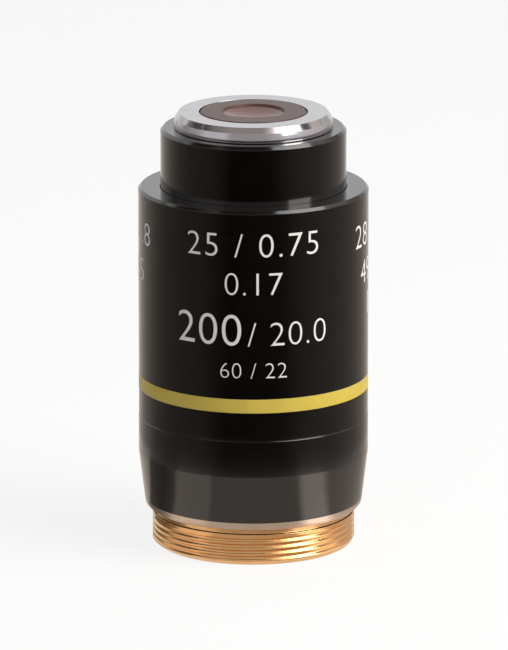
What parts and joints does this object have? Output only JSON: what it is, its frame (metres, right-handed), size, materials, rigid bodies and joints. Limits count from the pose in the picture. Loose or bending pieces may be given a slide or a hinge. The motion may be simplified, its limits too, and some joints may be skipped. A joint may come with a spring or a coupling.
{
  "type": "microscope objective",
  "caption": "Plan microscope objective: black stepped barrel with a bright front ring, a yellow colour ring, a tapered base collar and a brass thread, with its lens stack inside.",
  "frame": {"origin": "on the optical axis, in the plane of the thread end face", "axes": "+Z along the optical axis from the thread toward the specimen; X and Y are across it"},
  "size_m": [0.0284, 0.0284, 0.0543],
  "materials": {
    "mount_brass": "fine turned",
    "black_anodised_aluminium": "satin black anodised",
    "yellow_enamel": "satin enamel",
    "blackened_brass": "satin black plated",
    "front_chrome": "satin chrome",
    "coated_glass": "polished, anti-reflection coated"
  },
  "bodies": {
    "root": {"threaded_mount": "mount_brass", "base_collar": "black_anodised_aluminium", "parfocal_shim": "mount_brass", "outer_sleeve": "black_anodised_aluminium", "colour_ring": "yellow_enamel", "barrel": "blackened_brass", "front_ring": "front_chrome", "front_lens_cell": "blackened_brass", "front_lens": "coated_glass", "second_group_cell": "blackened_brass", "second_group_flint_lens": "coated_glass", "second_group_crown_lens": "coated_glass", "third_group_cell": "blackened_brass", "third_group_crown_lens": "coated_glass", "third_group_flint_lens": "coated_glass", "rear_group_cell": "blackened_brass", "rear_group_flint_lens": "coated_glass", "rear_group_crown_lens": "coated_glass", "short_spacer": "blackened_brass", "long_spacer": "blackened_brass", "aperture_stop": "blackened_brass", "stack_lock_ring": "blackened_brass", "centring_screws": "blackened_brass"}
  },
  "joints": []
}
